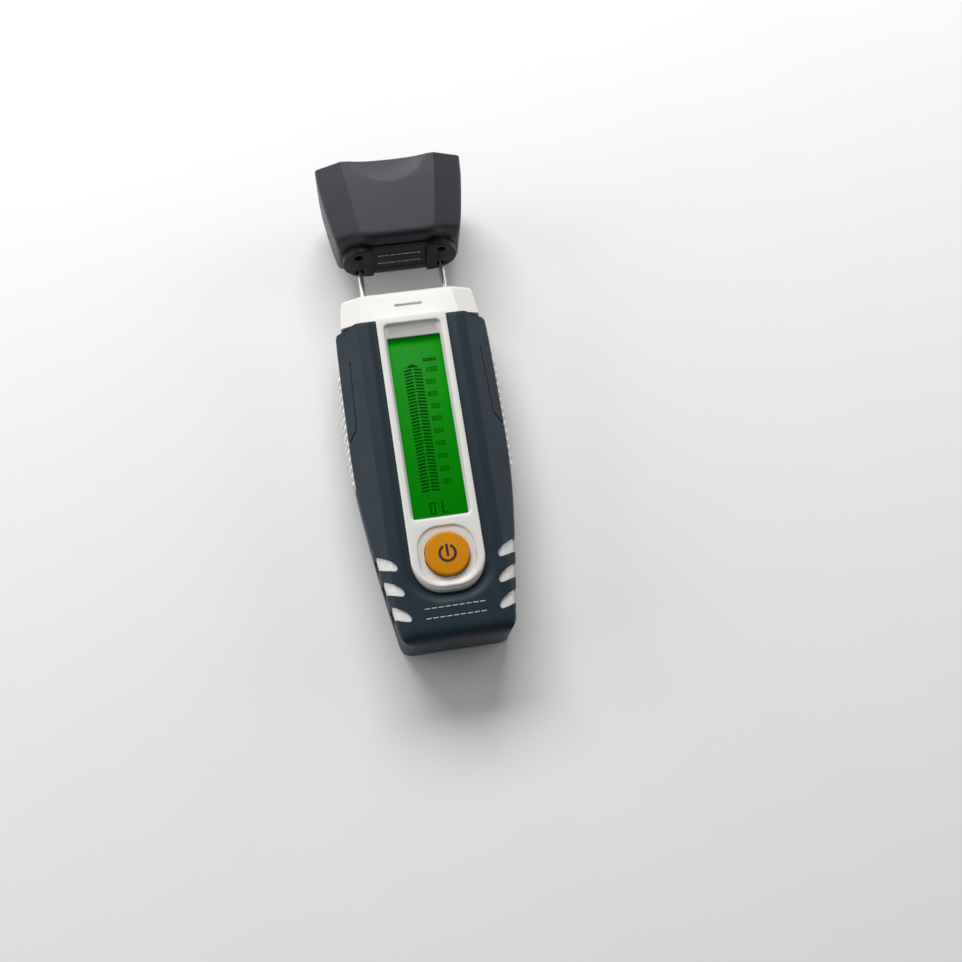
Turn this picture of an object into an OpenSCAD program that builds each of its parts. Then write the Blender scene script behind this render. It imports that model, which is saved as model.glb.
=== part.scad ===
// Handheld moisture meter with two pin electrodes and a test cap held just off the pins.
// Millimetres. +Z out of the display, +Y towards the electrodes, the flat back lies on Z = 0.

/* [Case] */
// Width across the widest part of the grips
case_w = 58; // [57:0.5:59]
// Width across the shoulders beside the sensor head
shoulder_w = 55.4; // [54.5:0.1:56]
// Width just above the bottom corners
foot_w = 39.8; // [39:0.1:40.4]
// Length of the rubber jacket
case_len = 116; // [115:0.5:117]
// Height of the jacket beside the bezel
case_h = 30.6; // [30.2:0.1:31]
// Thickness of the rubber jacket
jacket_t = 1.6; // [1.4:0.1:1.7]
// Wall of the hard shells under the jacket
shell_t = 1.8; // [1.6:0.1:1.9]
// Height of the joint between front and rear halves
split_z = 10.5; // [10:0.1:10.8]
// Height of the bezel face
bezel_h = 32; // [31.8:0.1:32.2]
// Width of the bezel
bezel_w = 25; // [24.6:0.1:25.4]
// Length of one thumb cut-out in the jacket
swoosh_len = 7; // [6:0.5:8]
// Number of thumb cut-outs on each side
swoosh_count = 3; // [2:1:3]

/* [Side strips] */
// Length of each ribbed side strip
strip_len = 55; // [50:1:56]
// Height of each ribbed side strip
strip_h = 8; // [7:0.2:8]
// Distance from rib to rib
rib_pitch = 3; // [2.5:0.1:4]

/* [Display and button] */
// Width of the visible display
display_w = 18.9; // [18:0.1:19.4]
// Length of the visible display
display_len = 66.8; // [64:0.2:67.4]
// Diameter of the power button
button_d = 14.9; // [14:0.1:15.2]
// Travel of the power button
button_travel = 0.7; // [0.4:0.1:0.8]

/* [Sensor head] */
// Length of the white sensor head
head_len = 11.6; // [11:0.1:12]
// Width of the head at the shoulders
head_w = 50.2; // [49:0.1:50.6]
// Depth of the head at the shoulders
head_d = 25.2; // [24.6:0.1:25.6]
// Distance between the two electrodes
pin_gap = 30.2; // [29:0.1:31]
// Diameter of an electrode
pin_d = 2.1; // [1.8:0.1:2.3]
// How far the electrodes stand out of the head
pin_out = 15.4; // [13:0.1:16]

/* [Test cap] */
// Length of the cap
cap_len = 34.2; // [34:0.2:37]
// Width of the cap at its widest
cap_w = 53.6; // [53.4:0.1:55]
// Depth of the cap at its open end
cap_d = 31.6; // [31.4:0.1:33]
// Width of the closed end
cap_end_w = 44; // [43:0.1:45]
// Wall of the cap
cap_t = 1.4; // [1.2:0.1:1.5]
// Distance between the two rows of test sockets
socket_rows = 11; // [10.4:0.1:11.4]
// Diameter of a test socket
socket_d = 3; // [2.9:0.1:3.4]
// How deep the electrode tips stand in the sockets
tip_in = 0.8; // [0.5:0.1:2]

/* [Power supply] */
// Diameter of one cell
cell_d = 10.5; // [10:0.1:10.6]
// Length of one cell
cell_len = 44.5; // [43.5:0.1:45]
// Width of the battery cover
cover_w = 26; // [25:0.5:26.5]
// Length of the battery cover
cover_len = 57; // [56:0.5:58]

/* [Hidden] */
$fn = 48;
gap = 0.3;
foot_y = -60;
top_y = foot_y + case_len;
half_w = case_w / 2;
shell_in = jacket_t + 0.05;
room_in = jacket_t + shell_t;
axis_z = 16.5;
pin_x = pin_gap / 2;
head_y = top_y + head_len;
tip_y = head_y + pin_out;
cap_y = tip_y - tip_in;
cap_z = axis_z + socket_rows / 2;
display_y = 48.6;
display_end = display_y - display_len;
button_y = -31.8;
bezel_end = -43;
lens_z = 28;
lens_t = 1.6;
board_z = 18;
board_t = 1.6;
board_top = board_z + board_t;
plunger_z = board_top + 4.8;
cell_z = 8.6;
cell_x = cell_d / 2 + 0.35;
cell_y = -5.5 - cell_len / 2;
cover_t = 2;
cover_z = 0.3;
tongue = 1.2;
strip_z = 13.2;
strip_y = -2;
screw_spots = [[18, -36], [19.5, 44]];
skirt = 1.1;
ink = [0.13, 0.14, 0.16];
rubber_blue = [0.21, 0.25, 0.30];
shell_white = [0.92, 0.92, 0.89];

// Points of a cubic curve from a to d.
function curve(a, b, c, d, n) = [for (i = [1:n]) let (t = i / n, s = 1 - t)
    s * s * s * a + 3 * s * s * t * b + 3 * s * t * t * c + t * t * t * d];

// Right edge of the case seen from the front, shoulder to foot.
side_edge = concat(
    [[shoulder_w / 2 - 3, top_y]],
    curve([shoulder_w / 2 - 3, top_y], [shoulder_w / 2 - 0.8, top_y - 0.1],
        [shoulder_w / 2, top_y - 0.6], [shoulder_w / 2 + 0.1, top_y - 2.8], 4),
    curve([shoulder_w / 2 + 0.1, top_y - 2.8], [shoulder_w / 2 + 0.9, top_y - 15],
        [half_w, 30], [half_w, 14], 5),
    curve([half_w, 14], [half_w - 0.4, 2], [half_w - 4.4, -30], [foot_w / 2, foot_y + 6], 9),
    curve([foot_w / 2, foot_y + 6], [foot_w / 2 - 0.4, foot_y + 2.2],
        [foot_w / 2 - 1.8, foot_y + 0.1], [foot_w / 2 - 5.5, foot_y], 5));

module both() {
    children();
    mirror([1, 0, 0]) children();
}

// Stands a flat X-Z outline up and runs it along Y.
module along_y(y0, y1) {
    translate([0, y1, 0]) rotate([90, 0, 0]) linear_extrude(y1 - y0) children();
}

// Stands a flat Y-Z outline up and runs it across X.
module across_x(half) {
    translate([-half, 0, 0]) rotate([90, 0, 90]) linear_extrude(2 * half) children();
}

module bolt_y(r, y0, y1) {
    translate([0, y1, 0]) rotate([90, 0, 0]) cylinder(r = r, h = y1 - y0);
}

module plan_flat() {
    polygon(concat(side_edge,
        [for (i = [len(side_edge) - 1:-1:0]) [-side_edge[i][0], side_edge[i][1]]]));
}

module section_flat() {
    offset(r = 1.4, $fn = 24) offset(delta = -1.4) polygon([
        for (s = [1, -1], p = s > 0
            ? [[12.5, case_h], [19.4, case_h - 1.2], [half_w - 1.3, case_h - 9], [half_w, 10.6],
                [half_w - 0.6, 7], [half_w - 8, 0]]
            : [[half_w - 8, 0], [half_w - 0.6, 7], [half_w, 10.6], [half_w - 1.3, case_h - 9],
                [19.4, case_h - 1.2], [12.5, case_h]]) [s * p[0], p[1]]]);
}

module profile_flat() {
    offset(r = 4.5, $fn = 32) offset(delta = -4.5)
        translate([foot_y, 0]) square([case_len + 20, case_h]);
}

// The case body drawn in by a distance, running open past the shoulders.
module case_form(inset) {
    intersection() {
        translate([0, 0, -1]) linear_extrude(case_h + 2) union() {
            offset(delta = -inset) plan_flat();
            if (inset > 0) translate([inset + 2 - shoulder_w / 2, top_y - inset - 4])
                square([shoulder_w - 2 * inset - 4, inset + 7]);
        }
        along_y(foot_y - 1, top_y + 3) offset(delta = -inset) section_flat();
        across_x(half_w + 1) offset(delta = -inset) profile_flat();
    }
}

module slab(x0, x1, y0, y1, z0, z1) {
    translate([x0, y0, z0]) cube([x1 - x0, y1 - y0, z1 - z0]);
}

module wide_slab(half, y0, y1, z0, z1) {
    slab(-half, half, y0, y1, z0, z1);
}

// Bezel outline: square at the head, rounded at the button end.
module bezel_flat(inset, smooth = 48) {
    $fn = smooth;
    r = 10.5 - inset;
    h = bezel_w / 2 - inset;
    translate([-h, bezel_end + 10.5]) square([2 * h, top_y - bezel_end - 10.5]);
    for (s = [-1, 1]) translate([s * (h - r), bezel_end + 10.5]) circle(r = r);
    translate([r - h, bezel_end + inset]) square([2 * (h - r), 12]);
}

// One thumb cut-out, tip inwards, running off the side.
module swoosh_flat(i, inset) {
    y = -34.8 - 8.8 * i;
    tip = 17.1 - 1.15 * i;
    offset(delta = -inset) polygon(concat(
        curve([34, y + 11.5], [tip + 8, y + 8.2], [tip + 0.9, y + 4.2], [tip, y + 1.7], 7),
        curve([tip, y + 1.7], [tip - 0.3, y + 0.5], [tip + 0.2, y], [tip + 0.9, y], 4),
        curve([tip + 0.9, y], [tip + 4, y + 0.6], [tip + 9, y + 3.4], [34, y + 6], 4)));
}

module swooshes(inset) {
    translate([0, 0, 14]) linear_extrude(case_h)
        intersection() {
            both() for (i = [0:swoosh_count - 1]) swoosh_flat(i, inset);
            translate([-40, foot_y - 1]) square([80, 60]);
        }
}

module strip_slot(grow) {
    translate([half_w - 6, strip_y - grow, strip_z - grow])
        cube([10, strip_len + 2 * grow, strip_h + 2 * grow]);
}

// Thin decorative line down each side of the jacket, dog-legged near its lower end.
module side_groove() {
    translate([0, 0, 14]) linear_extrude(case_h)
        polygon([[23.1, 43], [23.7, 43], [24.1, 31], [24.5, 19], [24.9, 17.7],
            [29.6, 12.1], [29.6, 11.1], [24.4, 17.2], [23.9, 18.8], [23.5, 31]]);
}

module grip_jacket_front() {
    color(rubber_blue) difference() {
        intersection() {
            case_form(0);
            wide_slab(40, foot_y - 1, top_y, split_z, 60);
        }
        case_form(jacket_t);
        translate([0, 0, 20]) linear_extrude(30) for (y = [0, -skirt])
            translate([0, y]) bezel_flat(-0.1);
        swooshes(0);
        both() strip_slot(0.15);
        difference() {
            both() side_groove();
            case_form(0.5);
        }
        for (y = rule_ys) translate([0, 0, case_h - 0.45]) rule_row(y, 0.06, 1);
    }
}

module grip_jacket_rear() {
    color(rubber_blue) difference() {
        intersection() {
            case_form(0);
            wide_slab(40, foot_y - 1, top_y, -1, split_z - 0.1);
        }
        case_form(jacket_t);
        cover_track();
        for (p = screw_spots) both() translate([p[0], p[1], -1]) cylinder(r = 2.7, h = 6);
    }
}

// Hollow shell with the screw posts of its half.
module shell_half(z0, z1, post_z0, post_z1) {
    difference() {
        intersection() {
            case_form(shell_in);
            wide_slab(40, foot_y - 1, top_y, z0, z1);
        }
        case_form(room_in);
    }
    intersection() {
        case_form(shell_in + 0.3);
        for (p = screw_spots) both()
            translate([p[0], p[1], post_z0]) cylinder(r = 3.1, h = post_z1 - post_z0);
    }
}

module front_shell() {
    color(shell_white) difference() {
        union() {
            shell_half(split_z, 40, split_z, 27);
            translate([0, 0, 26.4]) linear_extrude(bezel_h - 26.9) bezel_flat(0);
            hull() {
                translate([0, 0, bezel_h - 1]) linear_extrude(0.1) bezel_flat(0.05, 32);
                translate([0, -skirt, 27]) linear_extrude(2) bezel_flat(0.05, 32);
            }
            translate([0, 0, bezel_h - 0.5]) linear_extrude(0.5) bezel_flat(0.4);
            difference() {
                intersection() {
                    case_form(0.7);
                    swooshes(0.12);
                }
                case_form(room_in);
            }
            for (p = board_spots) translate([p[0], p[1], board_top + 0.05])
                cylinder(r = 2.4, h = 27 - board_top);
        }
        across_x(display_w / 2 + 0.5) polygon([[display_end - 0.2, bezel_h - 2.4],
            [display_end - 0.8, bezel_h + 1], [display_y + 4.6, bezel_h + 1],
            [display_y + 0.4, bezel_h - 2.4]]);
        wide_slab(display_w / 2, display_end, display_y, 20, 40);
        wide_slab(display_w / 2 + 1.4, display_end - 1.5, display_y + 1.5, 20, lens_z + lens_t + 0.05);
        translate([0, button_y, 20]) cylinder(d = button_d + 2 * gap + 0.1, h = 20);
        translate([0, button_y, 20]) cylinder(d = button_d + 3, h = 6.9);
        translate([0, button_y, bezel_h - 0.8]) linear_extrude(2) button_dish_flat();
        for (p = screw_spots) both()
            translate([p[0], p[1], split_z - 1]) cylinder(r = 1.45, h = 11);
        for (p = board_spots) translate([p[0], p[1], board_top - 1]) cylinder(r = 1.05, h = 6.2);
    }
}

// Shallow rounded-square dish around the button.
module button_dish_flat() {
    r = 7.4;
    h = 9.6;
    for (x = [r - h, h - r], y = [r - h, h - r]) translate([x, y]) circle(r = r);
    square([2 * h, 2 * (h - r)], center = true);
    square([2 * (h - r), 2 * h], center = true);
}

module rear_shell() {
    tray = 2 * cell_x + 1.2;
    color(shell_white) difference() {
        union() {
            shell_half(-1, split_z - 0.1, shell_in, split_z - 0.1);
            intersection() {
                case_form(shell_in);
                wide_slab(tray, cell_y - cell_len / 2 - 3.4, cell_y + cell_len / 2 + 3.4, 1, 15.4);
            }
        }
        wide_slab(tray - 1.2, cell_y - cell_len / 2 - 2.2, cell_y + cell_len / 2 + 2.2, -1, 14.2);
        cover_track();
        for (p = screw_spots) both() translate([p[0], p[1], -1]) {
            cylinder(r = 1.7, h = 14);
            cylinder(r = 2.7, h = 3.6);
        }
    }
}

// The way the battery cover slides out, open at the foot.
module cover_track() {
    y1 = foot_y + cover_len + gap;
    wide_slab(cover_w / 2 + gap, foot_y - 2, y1, -1, cover_z + cover_t + gap);
    wide_slab(cover_w / 2 + tongue + gap, foot_y - 2, y1, cover_z + 1 - gap, cover_z + cover_t + gap);
}

module battery_cover() {
    y1 = foot_y + cover_len;
    color(rubber_blue * 0.85) {
        intersection() {
            case_form(cover_z);
            union() {
                wide_slab(cover_w / 2, foot_y - 1, y1, cover_z, cover_z + cover_t);
                wide_slab(cover_w / 2 + tongue, foot_y - 1, y1, cover_z + 1, cover_z + cover_t);
            }
        }
        for (i = [0:5]) wide_slab(7 - abs(i - 2.5), foot_y + 9 + 1.9 * i, foot_y + 9.9 + 1.9 * i,
            0.05, cover_z + 0.2);
    }
}

module side_strip() {
    color(shell_white) difference() {
        union() {
            intersection() {
                case_form(-0.3);
                strip_slot(0);
            }
            for (i = [0:floor((strip_len - 14) / rib_pitch)]) intersection() {
                case_form(-1.1);
                slab(half_w - 6, half_w + 3, strip_y + 1 + rib_pitch * i,
                    strip_y + 1 + rib_pitch * (i + 0.5), strip_z, strip_z + strip_h);
            }
        }
        case_form(jacket_t);
    }
}

module side_strip_right() { side_strip(); }
module side_strip_left() { mirror([1, 0, 0]) side_strip(); }

// Eight-cornered rounded slice: half width, half flat, half depth, half side.
module slice(y, w, f, d, s, r) {
    for (x = [-1, 1], z = [-1, 1]) {
        translate([x * (f - r), y, z * (d - r)]) rotate([90, 0, 0]) cylinder(r = r, h = 0.01, $fn = 32);
        translate([x * (w - r), y, z * s]) rotate([90, 0, 0]) cylinder(r = r, h = 0.01, $fn = 32);
    }
}

module head_form(inset) {
    translate([0, 0, axis_z]) hull() {
        slice(top_y + 0.02, head_w / 2 - inset, 18 - inset, head_d / 2 - inset, 8.6, 2);
        slice(head_y - 1.4 - inset, head_w / 2 - 1.3 - inset, 17 - inset, head_d / 2 - 1 - inset, 7.6, 2);
        slice(head_y - inset, head_w / 2 - 2.2 - inset, 16.4 - inset, head_d / 2 - 2 - inset, 6.6, 2);
    }
}

module sensor_head() {
    color([0.93, 0.93, 0.90]) difference() {
        union() {
            difference() {
                head_form(0);
                translate([0, -0.1, 0]) head_form(1.8);
            }
            difference() {
                intersection() {
                    case_form(room_in + 0.1);
                    wide_slab(40, top_y - 2.4, top_y + 0.9, 0, 40);
                }
                wide_slab(21, top_y - 5, top_y + 3, 6.4, 20.4);
                wide_slab(17.5, top_y - 5, top_y + 3, 6.4, 24.6);
                wide_slab(bezel_w / 2 + 0.3, top_y - 5, top_y + 3, 26.1, 40);
            }
            for (x = [-pin_x, pin_x]) translate([x, 0, axis_z]) bolt_y(4.2, top_y + 1, head_y - 1);
        }
        for (x = [-pin_x, pin_x]) translate([x, 0, axis_z]) bolt_y(2.6, top_y, head_y + 1);
        translate([-4.9, top_y + 5.4, axis_z + head_d / 2 - 1]) cube([9.8, 0.9, 2]);
    }
}

module electrode() {
    color([0.78, 0.79, 0.80]) translate([0, 0, axis_z]) {
        bolt_y(pin_d / 2, head_y - 5, tip_y - 3);
        translate([0, tip_y - 3, 0]) rotate([-90, 0, 0])
            cylinder(r1 = pin_d / 2, r2 = 0.15, h = 3);
        bolt_y(1.5, top_y + 2.2, head_y);
    }
}

module electrode_right() { translate([pin_x, 0, 0]) electrode(); }
module electrode_left() { translate([-pin_x, 0, 0]) electrode(); }

module electrode_collars() {
    color([0.70, 0.71, 0.73]) for (x = [-pin_x, pin_x]) translate([x, 0, axis_z]) difference() {
        union() {
            bolt_y(1.8, head_y + 0.05, head_y + 2.2);
            bolt_y(2.5, head_y + 0.05, head_y + 0.9);
        }
        bolt_y(pin_d / 2 + 0.03, head_y - 1, head_y + 3);
    }
}

module electrode_inserts() {
    color([0.78, 0.62, 0.30]) for (x = [-pin_x, pin_x]) translate([x, 0, axis_z]) difference() {
        bolt_y(2.57, top_y + 1, head_y - 0.05);
        bolt_y(1.53, top_y, head_y + 1);
    }
}

// Spring strips from the inserts down to the pads on the board.
module electrode_leads() {
    color([0.80, 0.66, 0.36]) for (x = [-pin_x, pin_x]) {
        slab(x - 1.5, x + 1.5, top_y - 1.6, top_y + 0.95, board_top + 0.05, board_top + 0.45);
        slab(x - 1.5, x + 1.5, top_y + 0.55, top_y + 0.95, axis_z - 2, board_top + 0.45);
    }
}

module display_window() {
    color([0.75, 0.85, 0.80, 0.4])
        wide_slab(display_w / 2 + 1.3, display_end - 1.4, display_y + 1.4, lens_z, lens_z + lens_t);
}

module lcd_glass() {
    color([0.10, 0.45, 0.12]) {
        wide_slab(display_w / 2 + 1, display_end - 1, display_y + 1, 25.3, 26.4);
        wide_slab(display_w / 2 + 1, display_end + 1, display_y + 1, 26.4, 27.5);
    }
}

module lcd_backlight() {
    color([0.75, 0.95, 0.70]) {
        wide_slab(display_w / 2 + 1, display_end - 1, display_y + 1, 21.4, 25.25);
        for (y = [display_end + 2, display_y - 3]) both()
            slab(8, 9, y, y + 1, board_top, 21.6);
    }
}

board_spots = [[-12, -24.6], [12, -24.6], [-13, 51], [13, 51]];

module circuit_board() {
    color([0.09, 0.36, 0.22]) difference() {
        translate([0, 0, board_z]) linear_extrude(board_t) union() {
            translate([-15.2, -50]) square([30.4, top_y + 50.4]);
            translate([-20, -24]) square([40, 59]);
        }
        for (p = board_spots) translate([p[0], p[1], board_z - 1]) cylinder(r = 1.3, h = 4);
    }
}

module circuit_chips() {
    color(ink) {
        slab(-6, 6, 8, 20, board_z - 1.6, board_z - 0.02);
        slab(-14, -9, 22, 28, board_z - 1.4, board_z - 0.02);
        slab(-13, -6, 34, 38, board_z - 1.4, board_z - 0.02);
        for (i = [0:3]) slab(13.5, 16.5, -22 + 7 * i, -20.4 + 7 * i, board_top + 0.02, board_top + 1);
    }
}

module buzzer() {
    color(ink) translate([12, 28, board_z - 5.5]) difference() {
        cylinder(r = 5.8, h = 5.45);
        translate([0, 0, -1]) cylinder(r = 1, h = 2.5);
    }
}

module tact_switch() {
    color(ink) translate([0, button_y, 0]) difference() {
        wide_slab(3.1, -3.1, 3.1, board_top + 0.02, plunger_z - 1.2);
        translate([0, 0, board_top + 1]) cylinder(r = 1.9, h = 6);
    }
}

module switch_plunger() {
    color([0.75, 0.72, 0.64]) translate([0, button_y, board_top + 2.2])
        cylinder(r = 1.55, h = plunger_z - board_top - 2.2);
}

module power_button() {
    r = button_d / 2;
    color([0.88, 0.58, 0.10]) translate([0, button_y, 0]) difference() {
        rotate_extrude($fn = 96) polygon(concat(
            [[0, plunger_z + 0.02], [2.2, plunger_z + 0.02], [2.2, 25], [r + 1, 25], [r + 1, 26.4],
                [r, 26.4]],
            curve([r, 32.2], [r, 32.8], [r - 0.3, 33.1], [r - 1.1, 33.15], 4),
            [[0, 33.35]]));
        translate([0, 0, 33]) power_mark(0.04);
    }
}

// Open ring with an upright bar.
module power_mark(grow) {
    linear_extrude(1) {
        difference() {
            circle(r = 3.08 + grow);
            circle(r = 2.2 - grow);
            translate([-1.3 + grow, 0]) square([2.6 - 2 * grow, 5]);
        }
        translate([-0.42 - grow, -1.1 - grow]) square([0.84 + 2 * grow, 4.25 + 2 * grow]);
    }
}

module button_icon() {
    color(ink) intersection() {
        translate([0, button_y, 33.01]) power_mark(0);
        wide_slab(8, button_y - 8, button_y + 8, 32, 33.4);
    }
}

rule_ys = [-49, -52.3];

// One dashed rule across the front.
module rule_row(y, grow, h) {
    for (i = [-8:7]) translate([1.32 * i + 0.18 - grow, y - 0.17 - grow, 0])
        cube([0.96 + 2 * grow, 0.34 + 2 * grow, h]);
}

module rule_inlays() {
    color([0.70, 0.72, 0.75]) for (y = rule_ys) translate([0, 0, case_h - 0.43]) rule_row(y, 0, 0.45);
}

module battery_cells() {
    for (s = [-1, 1]) translate([s * cell_x, cell_y, cell_z]) rotate([s * 90, 0, 0]) {
        color([0.16, 0.17, 0.20]) translate([0, 0, -cell_len / 2]) cylinder(d = cell_d, h = cell_len - 1);
        color([0.80, 0.80, 0.82]) translate([0, 0, cell_len / 2 - 1]) cylinder(r = 1.9, h = 1);
    }
}

module battery_springs() {
    color([0.75, 0.76, 0.78]) for (s = [-1, 1])
        translate([s * cell_x, cell_y + s * (cell_len / 2 + 1.1), cell_z]) {
            translate([0, s * 0.85, 0]) cube([8, 0.3, 8], center = true);
            translate([2.5, -s * 0.1, 0]) cube([0.34, 1.9, 0.34], center = true);
            for (i = [0:2]) rotate([90, 0, 0]) translate([0, 0, s * (0.7 - 0.65 * i)])
                rotate_extrude() translate([2.5, 0]) circle(r = 0.22, $fn = 16);
        }
}

module battery_plates() {
    color([0.80, 0.81, 0.82]) for (s = [-1, 1])
        translate([s * cell_x, cell_y - s * (cell_len / 2 + 1.1), cell_z])
            translate([0, -s * 0.8, 0]) cube([8, 0.5, 8], center = true);
}

module screw(head_r, shank_r, l) {
    difference() {
        union() {
            cylinder(r = head_r, h = 1.8);
            translate([0, 0, 1.7]) cylinder(r = shank_r, h = l - 1.7);
        }
        for (a = [0, 90]) rotate([0, 0, a]) translate([-head_r * 0.6, -0.3, -1])
            cube([head_r * 1.2, 0.6, 2]);
    }
}

module case_screws() {
    color([0.68, 0.69, 0.71]) for (p = screw_spots) both()
        translate([p[0], p[1], 0.75]) screw(2.4, 1.4, 18);
}

module board_screws() {
    color([0.68, 0.69, 0.71]) for (p = board_spots)
        translate([p[0], p[1], board_z - 1.85]) screw(2, 1, 7.6);
}

module cap_at() {
    translate([0, cap_y, cap_z]) children();
}

module cap_form(inset) {
    end_d = socket_rows + 10;
    over = inset > 0 ? 0.5 : 0;
    hull() {
        slice(2 + inset * 2, cap_end_w / 2 - inset, 14.4 - inset, end_d / 2 - inset, 4, 3);
        slice(3.8 + inset, cap_end_w / 2 + 0.8 - inset, 14.6 - inset, cap_d / 2 - 1 - inset, 8.6, 3);
        slice(24, cap_w / 2 - 0.7 - inset, 16.8 - inset, cap_d / 2 - 0.2 - inset, 9.6, 3);
        slice(cap_len + over, cap_w / 2 - inset, 18 - inset, cap_d / 2 - inset, 9.8, 3);
    }
}

module scoop_ball(grow) {
    r = 90;
    translate([0, cap_len + 4, cap_d / 2 + r - 1]) intersection() {
        sphere(r = r + grow, $fn = 96);
        translate([-30, -30, -r - grow]) cube([60, 60, 8]);
    }
}

module cap_shell() {
    color([0.24, 0.26, 0.30]) cap_at() difference() {
        union() {
            difference() {
                cap_form(0);
                cap_form(cap_t);
            }
            intersection() {
                cap_form(0);
                scoop_ball(1.2);
            }
        }
        scoop_ball(0);
        along_y(1, 4) plate_flat(0.05);
        sockets(2.35, 1, 6);
        translate([0, cap_len + 250 - 0.6, -40]) cylinder(r = 250, h = 80, $fn = 360);
    }
}

// Round-ended plate outline in X-Z, seen from the meter.
module plate_flat(grow) {
    r = (socket_rows + 8.6) / 2 + grow;
    for (s = [-1, 1]) translate([s * (21 - r + grow), 0]) circle(r = r);
    square([2 * (21 - r + grow), 2 * r], center = true);
}

module cap_end_plate() {
    color([0.11, 0.12, 0.14]) cap_at() difference() {
        union() {
            along_y(1.4, 4) plate_flat(0);
            intersection() {
                along_y(0, 2) plate_flat(0);
                both() translate([pin_x - 5.2, -1, -20]) cube([12, 4, 40]);
            }
        }
        sockets(socket_d / 2, -1, 6);
    }
}

module sockets(r, y0, y1) {
    for (x = [-pin_x, pin_x], z = [-0.5, 0.5]) translate([x, 0, z * socket_rows]) bolt_y(r, y0, y1);
}

// Rows of plain dashes between the bosses.
module cap_marks() {
    color([0.62, 0.64, 0.66]) cap_at()
        for (z = [-2.8, 2.8], i = [-4:3]) translate([2 * i + 0.3, 1.25, z - 0.4]) cube([1.4, 0.14, 0.8]);
}

module cap_contacts() {
    color([0.80, 0.66, 0.36]) cap_at() difference() {
        sockets(2.3, 4.05, 8);
        sockets(1.65, 3, 9);
    }
}

module cap_test_board() {
    color([0.09, 0.36, 0.22]) cap_at() difference() {
        along_y(6.2, 7.2) plate_flat(-1.3);
        sockets(2.35, 5, 9);
    }
}

module cap_resistors() {
    color([0.68, 0.56, 0.40]) cap_at() for (z = [-0.5, 0.5]) {
        translate([0, 8.5, z * socket_rows]) rotate([0, 90, 0]) cylinder(r = 1.1, h = 6, center = true);
        for (x = [-6, 6]) translate([x, 0, z * socket_rows]) bolt_y(0.3, 7.25, 8.8);
        translate([-6.3, 8.2, z * socket_rows - 0.3]) cube([12.6, 0.6, 0.6]);
    }
}

front_shell();
rear_shell();
grip_jacket_front();
grip_jacket_rear();
side_strip_left();
side_strip_right();
sensor_head();
electrode_left();
electrode_right();
electrode_collars();
electrode_inserts();
electrode_leads();
display_window();
lcd_glass();
lcd_backlight();
circuit_board();
circuit_chips();
buzzer();
tact_switch();
switch_plunger();
power_button();
button_icon();
battery_cover();
battery_cells();
battery_springs();
battery_plates();
case_screws();
board_screws();
rule_inlays();
cap_shell();
cap_end_plate();
cap_marks();
cap_contacts();
cap_test_board();
cap_resistors();
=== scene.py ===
import math
import bpy
import bmesh
from mathutils import Matrix, Vector


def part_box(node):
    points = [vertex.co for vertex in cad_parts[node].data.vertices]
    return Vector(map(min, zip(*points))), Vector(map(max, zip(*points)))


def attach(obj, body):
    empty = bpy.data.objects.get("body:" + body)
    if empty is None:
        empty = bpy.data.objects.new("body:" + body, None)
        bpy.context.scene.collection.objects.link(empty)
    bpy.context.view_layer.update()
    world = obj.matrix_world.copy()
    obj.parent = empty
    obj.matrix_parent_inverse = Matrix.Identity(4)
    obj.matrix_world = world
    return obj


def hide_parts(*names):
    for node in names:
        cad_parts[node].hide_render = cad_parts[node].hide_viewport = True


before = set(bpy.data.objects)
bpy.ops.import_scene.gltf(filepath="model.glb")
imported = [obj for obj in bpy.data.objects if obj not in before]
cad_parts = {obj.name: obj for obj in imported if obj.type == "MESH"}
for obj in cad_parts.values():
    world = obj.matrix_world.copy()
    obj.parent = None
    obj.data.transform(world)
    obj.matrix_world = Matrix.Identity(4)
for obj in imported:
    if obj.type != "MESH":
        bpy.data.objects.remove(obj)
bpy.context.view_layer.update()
scene = bpy.context.scene
mm = 0.001


def clamp(v, lo=0.0, hi=1.0):
    return max(lo, min(hi, v))


def smooth(v):
    v = clamp(v)
    return v * v * (3 - 2 * v)


def softMin(a, b, k):
    h = max(k - abs(a - b), 0.0) / k
    return min(a, b) - h * h * k * 0.25


def softMax(a, b, k):
    return -softMin(-a, -b, k)


def cubic(a, b, c, d, n):
    out = []
    for i in range(1, n + 1):
        t = i / n
        s = 1 - t
        out.append(tuple(s ** 3 * a[j] + 3 * s * s * t * b[j] + 3 * s * t * t * c[j] + t ** 3 * d[j]
                         for j in range(2)))
    return out


def boxMm(node):
    lo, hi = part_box(node)
    return lo / mm, hi / mm


def roundCorners(points, radii, n=8, closed=True):
    # replaces each corner of a flat outline by an arc of n + 1 points
    out = []
    count = len(points)
    for i, p in enumerate(points):
        r = radii[i] if isinstance(radii, (list, tuple)) else radii
        p = Vector(p)
        if not closed and i in (0, count - 1) or r <= 0:
            out.append(tuple(p))
            continue
        a = Vector(points[i - 1]) - p
        b = Vector(points[(i + 1) % count]) - p
        la, lb = a.length, b.length
        a.normalize()
        b.normalize()
        half = math.acos(clamp(a.dot(b), -1, 1)) / 2
        cut = min(r / math.tan(half), la * 0.49, lb * 0.49)
        r = cut * math.tan(half)
        centre = p + (a + b).normalized() * (r / math.sin(half))
        start, end = p + a * cut - centre, p + b * cut - centre
        turn = math.atan2(start.x * end.y - start.y * end.x, start.dot(end))
        for k in range(n + 1):
            c, s = math.cos(turn * k / n), math.sin(turn * k / n)
            out.append((centre.x + start.x * c - start.y * s, centre.y + start.x * s + start.y * c))
    return out


def linkObject(name, data):
    obj = bpy.data.objects.new(name, data)
    scene.collection.objects.link(obj)
    return obj


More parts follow.
